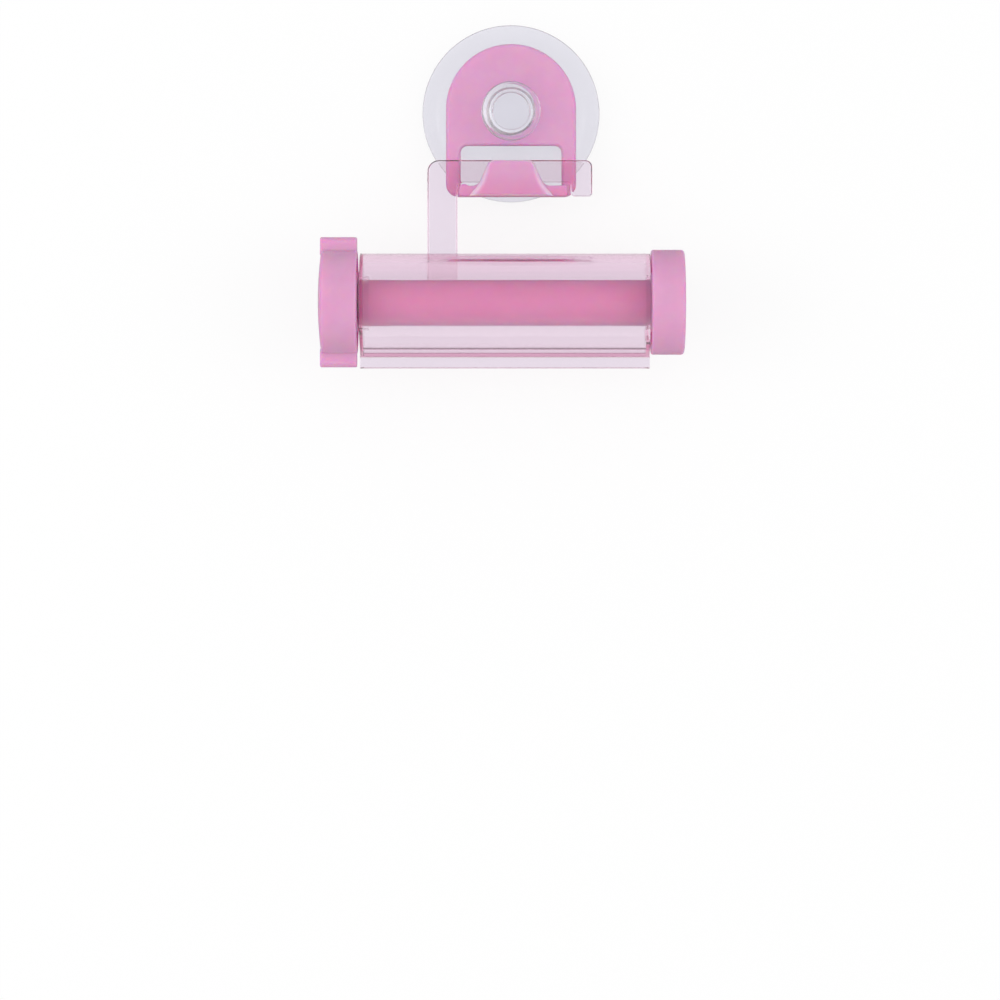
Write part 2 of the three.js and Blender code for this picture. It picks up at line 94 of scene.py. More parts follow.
def arc(x, y, radius, start, end):
    """Points along an arc, close enough together to look round."""
    step = 2 * math.acos(1 - CHORD_ERROR / max(radius, SMALLEST_RADIUS))
    count = max(FEWEST_ARC_STEPS, math.ceil(abs(end - start) / step))
    angles = [start + (end - start) * i / count for i in range(count + 1)]
    return [(x + radius * math.cos(a), y + radius * math.sin(a)) for a in angles]


def tidy_outline(points):
    """The same outline without points that lie on top of each other."""
    kept = []
    for point in points:
        if not kept or math.dist(point, kept[-1]) > SAME_POINT:
            kept.append(point)
    if math.dist(kept[0], kept[-1]) < SAME_POINT:
        kept.pop()
    return kept


def circle(centre, radius):
    return tidy_outline(arc(*centre, radius, 0, 2 * math.pi))


def rounded_outline(corners):
    """A counterclockwise outline through corners (x, y, radius), each rounded by its radius."""
    outline = []
    for i, (x, y, radius) in enumerate(corners):
        corner = Vector((x, y))
        if radius == 0:
            outline.append((x, y))
            continue
        back = (Vector(corners[i - 1][:2]) - corner).normalized()
        ahead = (Vector(corners[(i + 1) % len(corners)][:2]) - corner).normalized()
        half = back.angle(ahead) / 2
        centre = corner + (back + ahead).normalized() * (radius / math.sin(half))
        first = corner + back * (radius / math.tan(half)) - centre
        start = math.atan2(first.y, first.x)
        turn = math.pi - 2 * half
        if back.x * ahead.y - back.y * ahead.x > 0:
            turn = -turn
        outline.extend(arc(centre.x, centre.y, radius, start, start + turn))
    return tidy_outline(outline)


def mirrored_outline(right_half, mirrored_left=None):
    """An outline on both sides of x = 0 from the corners of its right half, bottom to top.

    Where the halves differ, the left half is given as its mirror image.
    """
    left_half = [(-x, y, radius) for x, y, radius in reversed(mirrored_left or right_half)]
    return rounded_outline([*right_half, *left_half])


def spline(points, steps):
    """A smooth curve through points, with a few steps between each two."""
    ends = [points[0], *points, points[-1]]
    curve = []
    for a, b, c, d in zip(ends, ends[1:], ends[2:], ends[3:]):
        for i in range(steps):
            t = i / steps
            weights = (
                (-t + 2 * t**2 - t**3) / 2,
                (2 - 5 * t**2 + 3 * t**3) / 2,
                (t + 4 * t**2 - 3 * t**3) / 2,
                (t**3 - t**2) / 2,
            )
            curve.append(tuple(sum(w * p[k] for w, p in zip(weights, (a, b, c, d))) for k in (0, 1)))
    return [*curve, points[-1]]


def mirrored_spline(right_half):
    """A smooth line on both sides of x = 0, closed across its bottom and its top."""
    side = spline(right_half, ROUND_STEPS)
    return [*side, *((-x, y) for x, y in reversed(side))]


def inset(outline, distance):
    """A counterclockwise outline moved inwards."""
    moved = []
    for i, point in enumerate(outline):
        before = (Vector(point) - Vector(outline[i - 1])).normalized()
        after = (Vector(outline[(i + 1) % len(outline)]) - Vector(point)).normalized()
        normal_before = Vector((-before.y, before.x))
        normal_after = Vector((-after.y, after.x))
        middle = (normal_before + normal_after).normalized()
        reach = 1 / max(MITRE_LIMIT, middle.dot(normal_after))
        moved.append((point[0] + middle.x * reach * distance, point[1] + middle.y * reach * distance))
    return moved


def trimmed(points, first, last):
    """A line of points without a length at its start and another at its end."""
    for length in (first, last):
        points = list(points)
        while length > 0 and len(points) > 2 and math.dist(points[0], points[1]) <= length:
            length -= math.dist(points[0], points[1])
            points.pop(0)
        if length > 0:
            share = min(LONGEST_TRIM, length / math.dist(points[0], points[1]))
            points[0] = tuple(a + (b - a) * share for a, b in zip(points[0], points[1]))
        points.reverse()
    return points


def eased_corner(start, corner, end):
    """Points on a curve that leaves one point towards a corner and arrives at the other from there."""
    points = []
    for step in range(1, EASING_STEPS):
        t = step / EASING_STEPS
        weights = ((1 - t) ** 2, 2 * t * (1 - t), t**2)
        points.append(tuple(sum(w * p[k] for w, p in zip(weights, (start, corner, end))) for k in (0, 1)))
    return points


def blended(segments, reaches):
    """A closed outline from segments that meet end to end, each corner eased over its reach on both sides."""
    parts = [trimmed(segment, reaches[i - 1], reaches[i]) for i, segment in enumerate(segments)]
    outline = []
    for i, part in enumerate(parts):
        following = parts[(i + 1) % len(parts)]
        outline.extend(part)
        outline.extend(eased_corner(part[-1], segments[i][-1], following[0]))
    return tidy_outline(outline)


# Solids


def front_view(x, z, depth):
    """Places an outline drawn in X and Z at a depth in front of the wall."""
    return (x, -depth, z)


def side_view(y, z, x):
    """Places an outline drawn in Y and Z at an X."""
    return (x, y, z)


def top_view(x, y, z):
    """Places an outline drawn in X and Y at a height."""
    return (x, y, z)


def about_wall_axis(radius, angle, depth):
    """Places a turned profile round the cup's axis."""
    return (radius * math.cos(angle), -depth, radius * math.sin(angle))


def about_spindle(radius, angle, x):
    """Places a turned profile round the spindle's axis."""
    return (x, AXIS_Y + radius * math.cos(angle), AXIS_Z + radius * math.sin(angle))


def from_axis(points):
    """Points drawn about the spindle's axis, moved to where the axis is."""
    return [(AXIS_Y + y, AXIS_Z + z) for y, z in points]


def new_object(name, mesh_build):
    """An object from a bmesh in millimetres, with its faces turned outwards."""
    bmesh.ops.remove_doubles(mesh_build, verts=mesh_build.verts, dist=SAME_VERTEX)
    bmesh.ops.recalc_face_normals(mesh_build, faces=mesh_build.faces)
    bmesh.ops.scale(mesh_build, vec=(MM, MM, MM), verts=mesh_build.verts)
    mesh = bpy.data.meshes.new(name)
    mesh_build.to_mesh(mesh)
    mesh_build.free()
    made = bpy.data.objects.new(name, mesh)
    bpy.context.scene.collection.objects.link(made)
    return made


def edge_of(build, first, second):
    return build.edges.get((first, second)) or build.edges.new((first, second))


def stacked(loops, place):
    """A closed solid whose sides run through rows of (depth, outline), for its outline and for each hole."""
    build = bmesh.new()
    ends = ([], [])
    for rows in loops:
        rings = [[build.verts.new(place(x, y, depth)) for x, y in outline] for depth, outline in rows]
        for lower, upper in zip(rings, rings[1:]):
            for i in range(len(lower)):
                build.faces.new((lower[i - 1], lower[i], upper[i], upper[i - 1]))
        for rim, ring in zip(ends, (rings[0], rings[-1])):
            rim.extend(edge_of(build, ring[i - 1], ring[i]) for i in range(len(ring)))
    for rim in ends:
        bmesh.ops.triangle_fill(build, use_beauty=True, use_dissolve=False, edges=rim)
    return new_object("solid", build)


def quarter_round(edge):
    """Steps of (depth, inset) round a quarter circle, from the face to the side."""
    if edge == 0:
        return [(0, 0)]
    angles = [i / ROUND_STEPS * math.pi / 2 for i in range(ROUND_STEPS + 1)]
    return [(edge * (1 - math.cos(a)), edge * (1 - math.sin(a))) for a in angles]


def slab(outline, near, far, edge=0, holes=(), place=front_view, far_edge=None):
    """An outline with holes made solid between two depths, its edges rounded by quarter circles.

    The edges at the far depth are rounded as the near ones are, unless they have a radius of their own.
    """
    far_steps = quarter_round(edge if far_edge is None else far_edge)
    steps = [(near + depth, offset) for depth, offset in quarter_round(edge)]
    steps += [(far - depth, offset) for depth, offset in reversed(far_steps)]
    loops = []
    for ring, sign in [(outline, 1), *((hole, -1) for hole in holes)]:
        loops.append([(depth, inset(ring, sign * offset)) for depth, offset in steps])
    return stacked(loops, place)


def bar(outline, left, right, edge=0):
    """An outline in Y and Z made solid from one X to another."""
    return slab(tidy_outline(outline), left, right, edge, place=side_view)


def block(left, right, depth, height):
    """A block along the spindle's axis."""
    y = depth / 2
    z = height / 2
    return bar(from_axis([(-y, -z), (y, -z), (y, z), (-y, z)]), left, right)


def turned(profile, segments, place):
    """A profile of (radius, distance) that starts and ends on its axis, turned round it."""
    build = bmesh.new()
    rings = []
    for radius, distance in profile:
        count = segments if radius > ON_AXIS else 1
        angles = [2 * math.pi * i / count for i in range(count)]
        rings.append([build.verts.new(place(radius, a, distance)) for a in angles])
    for lower, upper in zip(rings, rings[1:]):
        for i in range(segments):
            ring = [lower[i - 1 if len(lower) > 1 else 0], lower[i if len(lower) > 1 else 0]]
            ring += [upper[i if len(upper) > 1 else 0], upper[i - 1 if len(upper) > 1 else 0]]
            corners = list(dict.fromkeys(ring))
            if len(corners) > 2:
                build.faces.new(corners)
    return new_object("turned", build)


def rod(radius, left, right):
    """A round rod along the spindle's axis."""
    return turned([(0, left), (radius, left), (radius, right), (0, right)], ROD_SEGMENTS, about_spindle)


def apply_modifiers(piece):
    graph = bpy.context.evaluated_depsgraph_get()
    made = bpy.data.meshes.new_from_object(piece.evaluated_get(graph))
    piece.modifiers.clear()
    old = piece.data
    piece.data = made
    bpy.data.meshes.remove(old)


def combine(piece, other, operation):
    """Joins, cuts or intersects a piece with another, which is used up."""
    boolean = piece.modifiers.new("combine", "BOOLEAN")
    boolean.solver = "MANIFOLD"
    boolean.operation = operation
    boolean.object = other
    apply_modifiers(piece)
    bpy.data.objects.remove(other)
    return piece


def join(piece, other):
    return combine(piece, other, "UNION")


def cut(piece, other):
    return combine(piece, other, "DIFFERENCE")


def smooth(piece):
    """Smooth shading with flat faces kept flat and sharp edges kept sharp."""
    piece.data.polygons.foreach_set("use_smooth", [True] * len(piece.data.polygons))
    piece.data.set_sharp_from_angle(angle=SHARP_ANGLE)
    weighted = piece.modifiers.new("even normals", "WEIGHTED_NORMAL")
    weighted.keep_sharp = True


def place_piece(piece, name, node, body, material):
    """Names a finished piece and puts it in its node's place on its body."""
    piece.name = name
    piece.data.name = name
    piece.data.materials.clear()
    piece.data.materials.append(material)
    smooth(piece)
    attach(piece, body)
    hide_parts(node)


# Shader nodes. Noise scales are in features per metre

NOISE_RANGE = (0.3, 0.7)
NOISE_DETAIL = 3.0
BUMP_HEIGHT = 0.05


def new_material(name):
    material = bpy.data.materials.new(name)
    material.use_nodes = True
    material.node_tree.nodes.clear()
    return material, material.node_tree


def add_node(tree, kind, **values):
    """A shader node with its properties and its inputs set by name."""
    node = tree.nodes.new(kind)
    for name, value in values.items():
        if name in node.inputs:
            node.inputs[name].default_value = value
        else:
            setattr(node, name, value)
    return node


def feed(tree, value, socket):
    """Sets a socket to a number, or links another node's output to it."""
    if isinstance(value, (int, float)):
        socket.default_value = value
    else:
        tree.links.new(value, socket)


def computed(tree, operation, *values):
    """The result of a sum on numbers and other nodes' outputs."""
    node = add_node(tree, "ShaderNodeMath", operation=operation)
    for value, socket in zip(values, node.inputs):
        feed(tree, value, socket)
    return node.outputs["Value"]


def separated(tree, vector):
    """The X, Y and Z of a vector."""
    node = add_node(tree, "ShaderNodeSeparateXYZ")
    tree.links.new(vector, node.inputs["Vector"])
    return node.outputs


def coordinates(tree, kind):
    return add_node(tree, "ShaderNodeTexCoord").outputs[kind]


def noise(tree, scale, detail=NOISE_DETAIL):
    """Noise in the object's own space."""
    texture = add_node(tree, "ShaderNodeTexNoise", Scale=scale, Detail=detail)
    tree.links.new(coordinates(tree, "Object"), texture.inputs["Vector"])
    return texture.outputs["Fac"]


def ramp(tree, factor, stops):
    """A colour that follows a factor through stops of position and colour."""
    made = add_node(tree, "ShaderNodeValToRGB")
    elements = made.color_ramp.elements
    while len(elements) < len(stops):
        elements.new(1)
    for element, (position, colour) in zip(elements, stops):
        element.position = position
        element.color = (*colour, 1)
    tree.links.new(factor, made.inputs["Fac"])
    return made.outputs["Color"]


def levels(tree, factor, stops):
    """A brightness that follows a factor through stops of position and level."""
    return ramp(tree, factor, [(position, (level, level, level)) for position, level in stops])


def spread_over(tree, value, source, target=(0, 1)):
    """A value moved from one range to another, and held at its ends."""
    spread = add_node(tree, "ShaderNodeMapRange")
    names = ("Value", "From Min", "From Max", "To Min", "To Max")
    for name, given in zip(names, (value, *source, *target)):
        feed(tree, given, spread.inputs[name])
    return spread.outputs["Result"]


def bumped(tree, value, strength):
    bump = add_node(tree, "ShaderNodeBump", Strength=strength, Distance=BUMP_HEIGHT * MM)
    tree.links.new(value, bump.inputs["Height"])
    return bump.outputs["Normal"]


def blended_colour(tree, factor, first, second):
    """A colour that goes over to another one with the factor."""
    mix = add_node(tree, "ShaderNodeMix", data_type="RGBA")
    by_identifier = {socket.identifier: socket for socket in mix.inputs}
    tree.links.new(factor, by_identifier["Factor_Float"])
    tree.links.new(first, by_identifier["A_Color"])
    by_identifier["B_Color"].default_value = (*second, 1)
    return {socket.identifier: socket for socket in mix.outputs}["Result_Color"]


def mixed(tree, factor, first, second):
    """A surface that goes over to another one with the factor."""
    mix = add_node(tree, "ShaderNodeMixShader")
    for value, socket in zip((factor, first, second), mix.inputs):
        feed(tree, value, socket)
    return mix.outputs["Shader"]


def ray_is(tree, *kinds):
    """1 for rays of the named kinds, otherwise 0."""
    path = add_node(tree, "ShaderNodeLightPath")
    value = path.outputs[kinds[0]]
    for kind in kinds[1:]:
        value = computed(tree, "MAXIMUM", value, path.outputs[kind])
    return value


def set_output(tree, surface, volume=None):
    out = add_node(tree, "ShaderNodeOutputMaterial")
    tree.links.new(surface, out.inputs["Surface"])
    if volume:
        tree.links.new(volume, out.inputs["Volume"])


# Materials

PINK_COLOURS = ((0.662, 0.352, 0.545), (0.682, 0.369, 0.565))
# The spindle's pink is deeper than the other pieces' pink: painted shade for the dimmer, pinker light inside
# the trough
SPINDLE_SHADED_COLOURS = ((0.68, 0.307, 0.5), (0.7, 0.324, 0.52))
PINK_IOR = 1.49
PINK_SPECULAR = 0.12
PINK_SCATTER = (6.0, 0.7, 2.0)
PINK_ROUGHNESS = (0.5, 0.6)
FLOW_MARKS = 180
SATIN_PATCHES = 900
SATIN_GRAIN = 3500
GRAIN_STRENGTH = 0.06
GLOSS_PATCHES = 600
WAVES = 220
WAVE_DETAIL = 2.0
BUTTON_COLOUR = (1.0, 0.985, 1.0)


def pink_plastic(name, colours, finish=None):
    """Opaque moulded plastic, a little waxy, with faint flow marks and a fine satin grain."""
    material, tree = new_material(name)
    shader = add_node(tree, "ShaderNodeBsdfPrincipled")
    shader.inputs["IOR"].default_value = PINK_IOR
    shader.inputs["Specular IOR Level"].default_value = PINK_SPECULAR
    shader.inputs["Subsurface Weight"].default_value = 1.0
    shader.inputs["Subsurface Radius"].default_value = PINK_SCATTER
    shader.inputs["Subsurface Scale"].default_value = MM
    colour = ramp(tree, noise(tree, FLOW_MARKS), list(zip(NOISE_RANGE, colours)))
    if finish:
        colour = finish(tree, colour)
    roughness = spread_over(tree, noise(tree, SATIN_PATCHES), NOISE_RANGE, PINK_ROUGHNESS)
    tree.links.new(colour, shader.inputs["Base Color"])
    tree.links.new(roughness, shader.inputs["Roughness"])
    tree.links.new(bumped(tree, noise(tree, SATIN_GRAIN), GRAIN_STRENGTH), shader.inputs["Normal"])
    set_output(tree, shader.outputs["BSDF"])
    return material


def clear_plastic(name, base, transmission, roughness, ior, shade, absorbed, density, waviness, finish=None):
    """Clear plastic whose colour deepens with thickness. Lamps and bounced light pass with a faint tint."""
    material, tree = new_material(name)
    shader = add_node(tree, "ShaderNodeBsdfPrincipled")
    shader.inputs["Base Color"].default_value = (*base, 1)
    shader.inputs["IOR"].default_value = ior
    shader.inputs["Transmission Weight"].default_value = transmission
    if finish:
        tree.links.new(finish(tree, base), shader.inputs["Base Color"])
    patches = spread_over(tree, noise(tree, GLOSS_PATCHES), NOISE_RANGE, roughness)
    tree.links.new(patches, shader.inputs["Roughness"])
    tree.links.new(bumped(tree, noise(tree, WAVES, WAVE_DETAIL), waviness), shader.inputs["Normal"])
    passed = add_node(tree, "ShaderNodeBsdfTransparent", Color=(*shade, 1)).outputs["BSDF"]
    surface = shader.outputs["BSDF"]
    for ray in ("Is Diffuse Ray", "Is Shadow Ray"):
        surface = mixed(tree, ray_is(tree, ray), surface, passed)
    depth = add_node(tree, "ShaderNodeVolumeAbsorption", Color=(*absorbed, 1), Density=density)
    set_output(tree, surface, depth.outputs["Volume"])
    return material


def clear_button(tree, base):
    """The cup's colour, purer in its button."""
    start = -HOOK_FRONT * MM
    depth = separated(tree, coordinates(tree, "Object"))["Y"]
    ahead = spread_over(tree, depth, (start, start - GAP * MM))
    return ramp(tree, ahead, [(0, base), (1, BUTTON_COLOUR)])


PINK = pink_plastic("pink_plastic", PINK_COLOURS)
# The same pink plastic with painted shade in its colour, for the spindle inside the trough
SHADED_PINK = pink_plastic("pink_plastic_shaded", SPINDLE_SHADED_COLOURS)
TINTED = clear_plastic(
    "tinted_clear",
    base=(1.0, 1.0, 1.0),
    transmission=1.0,
    roughness=(0.05, 0.1),
    ior=1.5,
    shade=(0.99, 0.985, 0.985),
    absorbed=(0.85, 0.24, 0.52),
    density=106,
    waviness=0.05,
)
VINYL = clear_plastic(
    "clear_vinyl",
    base=(0.945, 0.923, 0.935),
    transmission=0.96,
    roughness=(0.1, 0.2),
    ior=1.52,
    shade=(0.93, 0.93, 0.95),
    absorbed=(0.4, 0.35, 0.5),
    density=14,
    waviness=0.08,
    finish=clear_button,
)


# Suction cup. Its profiles are points of radius and depth in front of the wall

CUP_RADIUS = CUP_HIGH.x
CUP_LAND_WIDTH = 2.8
CUP_LAND_INNER = CUP_RADIUS - CUP_LAND_WIDTH
CUP_HOLLOW_DEPTH = 2.6
BOSS_RADIUS = 7.2
BOSS_TOP = HOOK_BACK - GAP
NECK_RADIUS = 4.65
BUTTON_RADIUS = 7.5
BUTTON_BACK = HOOK_FRONT + GAP
TIP_RADIUS = 4.9
TIP_DEPTH = -CUP_LOW.y
TIP_STEPS = 60
TIP_EDGE = 0.12
TIP_RISE = 0.55
RIPPLE_DEPTH = 0.008
RIPPLE_WIDTH = 0.95
BUTTON_SIDE = [
    (TIP_RADIUS, TIP_DEPTH - TIP_EDGE),
    (TIP_RADIUS + 0.1, TIP_DEPTH - TIP_RISE),
    (TIP_RADIUS + 0.3, TIP_DEPTH - TIP_RISE - 0.2),
    (BUTTON_RADIUS - 1.2, TIP_DEPTH - 1.45),
    (BUTTON_RADIUS - 0.4, TIP_DEPTH - 2.05),
    (BUTTON_RADIUS - 0.08, TIP_DEPTH - 2.7),
    (BUTTON_RADIUS, TIP_DEPTH - 3.4),
    (BUTTON_RADIUS, BUTTON_BACK + 0.6),
    (BUTTON_RADIUS - 0.15, BUTTON_BACK + 0.18),
    (BUTTON_RADIUS - 0.5, BUTTON_BACK),
]
NECK_SIDE = [
    (NECK_RADIUS + 0.2, BUTTON_BACK),
    (NECK_RADIUS, BUTTON_BACK - 0.2),
    (NECK_RADIUS, BOSS_TOP + 0.1),
]
DOME = [
    (NECK_RADIUS + 0.1, BOSS_TOP),
    (BOSS_RADIUS - 0.5, BOSS_TOP),
    (BOSS_RADIUS - 0.1, BOSS_TOP - 0.25),
    (BOSS_RADIUS + 0.2, 4.9),
    (BOSS_RADIUS + 0.9, 4.35),
    (9.4, 3.75),
    (12, 3.05),
    (15, 2.25),
    (18.5, 1.5),
    (CUP_RADIUS - 0.5, 1.03),
    (CUP_RADIUS - 0.08, 0.9),
    (CUP_RADIUS, 0.72),
    (CUP_RADIUS - 0.03, 0.4),
    (CUP_RADIUS - 0.16, 0.13),
    (CUP_RADIUS - 0.45, 0),
]


def tip_face():
    """The face of the button's tip from its middle outwards, with faint ripples."""
    face = []
    for i in range(TIP_STEPS + 1):
        radius = (TIP_RADIUS - TIP_EDGE) * i / TIP_STEPS
        ripple = RIPPLE_DEPTH * (1 - math.cos(radius * 2 * math.pi / RIPPLE_WIDTH))
        face.append((radius, TIP_DEPTH - ripple))
    return face


def cup_hollow():
    """The hollow behind the cup, from its flat land to its middle."""
    hollow = []
    for i in range(CROWN_STEPS + 1):
        radius = CUP_LAND_INNER * (1 - i / CROWN_STEPS)
        hollow.append((radius, CUP_HOLLOW_DEPTH * (1 - (radius / CUP_LAND_INNER) ** 2)))
    return hollow


def suction_cup():
    tip = tip_face()
    button = spline([tip[-1], *BUTTON_SIDE], CURVE_STEPS)
    profile = [*tip, *button[1:], *NECK_SIDE, *spline(DOME, CURVE_STEPS), *cup_hollow()]
    cup = turned(profile, DISC_SEGMENTS, about_wall_axis)
    place_piece(cup, "clear_suction_cup", "suction_cup", "wall_cup", VINYL)


# Hook plate. Its outlines are corners of x, z and radius, the tongue's base and face are points of x and z

HOOK_HALF_WIDTH = HOOK_HIGH.x
HOOK_BOTTOM = HOOK_LOW.z
HOOK_EDGE = 0.95
HOOK_CORNER = 3.2
NECK_HOLE_RADIUS = 5.4
NECK_HOLE_CENTRE = (-0.45, 0.45)
SHELF_LEFT = -13.1
SHELF_LEFT_TOP = -18.55
SHELF_RIGHT = 14.2
SHELF_RIGHT_TOP = -18.85
SHELF_TOE_AHEAD = 1
SHELF_TOE_RADIUS = 2.6
SHELF_EDGE = 0.5
DIP_BOTTOM = -19
DIP_OUTER = 11.5
DIP_INNER = 10.7
WINDOW_HALF_WIDTH = 12.75
WINDOW_TOP = -8.65
WINDOW_BOTTOM = DIP_BOTTOM - JOINED
TONGUE_TOP = -12.55
TONGUE_TOP_HALF_WIDTH = 5.5
TONGUE_FOOT_HALF_WIDTH = 8.35
TONGUE_THICKNESS = 2.3
TONGUE_RISE = 1.3
TONGUE_ROOT = 0.3
TONGUE_FRONT = -HOOK_LOW.y
TONGUE_BACK = TONGUE_FRONT - TONGUE_THICKNESS
TONGUE_SLOPE_STEPS = 10
HOOK_OUTLINE = [(HOOK_HALF_WIDTH, HOOK_BOTTOM, HOOK_CORNER), (HOOK_HALF_WIDTH, HOOK_HIGH.z, HOOK_HALF_WIDTH)]
HOOK_WINDOW = [(WINDOW_HALF_WIDTH, WINDOW_BOTTOM, 0.6), (WINDOW_HALF_WIDTH, WINDOW_TOP, 1.8)]
SHELF_RIGHT_END = [(SHELF_RIGHT, HOOK_BOTTOM, 0.7), (SHELF_RIGHT, SHELF_RIGHT_TOP, 0.8)]
SHELF_LEFT_END = [
    (-SHELF_LEFT, HOOK_BOTTOM, 0.7),
    (-SHELF_LEFT, SHELF_LEFT_TOP, 1.2),
    (DIP_OUTER, SHELF_LEFT_TOP, 0.6),
    (DIP_INNER, DIP_BOTTOM, 1),
]
TONGUE_SIDE = [(TONGUE_FOOT_HALF_WIDTH, DIP_BOTTOM, 2.4), (TONGUE_TOP_HALF_WIDTH, TONGUE_TOP, 2)]
TONGUE_BASE = [
    (11.3, HOOK_BOTTOM - PAST),
    (10.3, -20.9),
    (8.95, -19.4),
    (7.85, -17.9),
    (6.65, -15.2),
    (5.85, -13.5),
    (5.1, TONGUE_TOP - 0.2),
    (4.2, TONGUE_TOP),
]
TONGUE_FACE = [
    (8.9, HOOK_BOTTOM - PAST),
    (7.6, -20.9),
    (6.65, -19.4),
    (6.05, -18),
    (5.6, -15.9),
    (5.3, -14.3),
    (4.7, TONGUE_TOP - 0.75),
    (3.8, TONGUE_TOP - 0.5),
]
# Painted highlight: a paler band along the tongue's sloping flanks
FLANK_HIGHLIGHT_STOPS = [(0.1, 0), (0.2, 0.8), (0.7, 0.8), (1, 0)]
FLANK_HIGHLIGHT_COLOUR = (0.85, 0.62, 0.76)
# Painted shade: the shelf and tongue darken from this height down to the bottom, towards the front
PAINTED_SHADE_TOP = -15.5
PAINTED_SHADE_COLOUR = (0.655, 0.285, 0.475)


def hook_painted_light(tree, colour):
    """The hook's colour: painted shade low on the shelf and tongue, a painted highlight on the tongue's
    flanks.
    """
    place = separated(tree, coordinates(tree, "Object"))
    shade_by_height = spread_over(tree, place["Z"], (PAINTED_SHADE_TOP * MM, HOOK_BOTTOM * MM))
    ahead = spread_over(tree, place["Y"], (-HOOK_FRONT * MM, -TONGUE_BACK * MM))
    with_painted_shade = blended_colour(tree, computed(tree, "MULTIPLY", shade_by_height, ahead), colour, PAINTED_SHADE_COLOUR)
    foot = (TONGUE_RISE - TONGUE_FRONT) * MM
    highlight_place = spread_over(tree, place["Y"], (foot, -TONGUE_FRONT * MM))
    return blended_colour(tree, levels(tree, highlight_place, FLANK_HIGHLIGHT_STOPS), with_painted_shade, FLANK_HIGHLIGHT_COLOUR)


def tongue_middle():
    """The tongue's raised middle: its sides flare towards the shelf and slope in to a narrower front."""
    base = mirrored_spline(TONGUE_BASE)
    face = mirrored_spline(TONGUE_FACE)
    rows = [(TONGUE_BACK + TONGUE_ROOT, base)]
    for i in range(TONGUE_SLOPE_STEPS + 1):
        inward = i / TONGUE_SLOPE_STEPS
        row = [Vector(a).lerp(Vector(b), inward).to_tuple() for a, b in zip(base, face)]
        rows.append((TONGUE_FRONT - TONGUE_RISE * (1 - inward) ** 2, row))
    return stacked([rows], front_view)


def shelf_and_tongue():
    """What reaches forward from the plate, with its front rounded off below."""
    base_outline = mirrored_outline([*SHELF_RIGHT_END, *TONGUE_SIDE], [*SHELF_LEFT_END, *TONGUE_SIDE])
    shelf_right = [*SHELF_RIGHT_END, (TONGUE_FOOT_HALF_WIDTH, DIP_BOTTOM, 0)]
    shelf_outline = mirrored_outline(shelf_right, SHELF_LEFT_END)
    reach = slab(base_outline, TONGUE_BACK, TONGUE_FRONT - TONGUE_RISE + JOINED, SHELF_EDGE)
    join(reach, tongue_middle())
    join(reach, slab(shelf_outline, HOOK_FRONT - HOOK_EDGE, TONGUE_BACK + SHELF_EDGE))
    front = -TONGUE_FRONT - SHELF_TOE_AHEAD
    back = -HOOK_BACK - HOOK_EDGE
    top = TONGUE_TOP + PAST
    side = rounded_outline(
        [(front, HOOK_BOTTOM, SHELF_TOE_RADIUS), (back, HOOK_BOTTOM, 0), (back, top, 0), (front, top, 0)]
    )
    return combine(reach, bar(side, -HOOK_HALF_WIDTH, HOOK_HALF_WIDTH), "INTERSECT")


def hook_plate():
    holes = [mirrored_outline(HOOK_WINDOW), circle(NECK_HOLE_CENTRE, NECK_HOLE_RADIUS)]
    hook = slab(mirrored_outline(HOOK_OUTLINE), HOOK_BACK, HOOK_FRONT, HOOK_EDGE, holes)
    join(hook, shelf_and_tongue())
    # The hook's pink carries painted shade low down and a painted highlight on the tongue's flanks
    finish = pink_plastic("pink_plastic_painted_light", PINK_COLOURS, hook_painted_light)
    place_piece(hook, "pink_hook_plate", "hook_plate", "hook", finish)


# Holder. Its section is drawn about the spindle's axis, its hanger's outline is corners of x, z and radius

SHELL_WALL = 1.8
KNOB_SPACE = 0.7
CAP_SPACE = 0.35
HOLDER_LEFT = KNOB_HIGH.x + KNOB_SPACE
HOLDER_RIGHT = CAP_LOW.x - CAP_SPACE
SHELL_RADIUS = SHELL_HIGH.y - AXIS_Y
SHELL_EDGE = 0.12
INNER_DROP = 0.45
LIP_FRONT = 2.4
LIP_BOTTOM = -16.6
CREASE = -math.pi / 2 - math.asin(LIP_FRONT / SHELL_RADIUS)
FLOOR_TOP = -12.5
FLOOR_BOTTOM = -13.6
FLOOR_FRONT = 4.3
SECTION_EASING = [0.7, 1.2, 0.25, 0.25, 0.8, 0.7, 0.7, 0.5, 0.5, 0.3]
END_INSIDE = SHELL_RADIUS - INNER_DROP
END_BOTTOM = FLOOR_BOTTOM + 0.2
LEFT_WALL = 0.8
LEFT_WALL_EDGE = 0.15
THRUST_HEIGHT = 0.45
THRUST_RADIUS = 6.6
THRUST_SLOPE = 4.2
BEARING_RADIUS = 6.75
BEARING_LENGTH = 1.4
RIGHT_BEARING_LENGTH = 1.0
BRACKET_WIDTH = 1.0
BRACKET_HALF_HEIGHT = 4.2
END_RIM_WIDTH = 0.8
END_RIM_LENGTH = 1.0
BORE_RADIUS = 6.1
HANGER_BACK = -SHELL_HIGH.y
HANGER_FRONT = HANGER_BACK + SHELL_WALL
HANGER_BACK_EDGE = 0.75
HANGER_FRONT_EDGE = 0.2
ARM_LEFT = -21.15
ARM_RIGHT = -13.5
ARM_FOOT = AXIS_Z - 6
LUG_LEFT = 15
LUG_RIGHT = 20.5
LUG_BOTTOM = -21.6
BAR_TOP = SHELL_HIGH.z
BAR_BOTTOM = -18.1
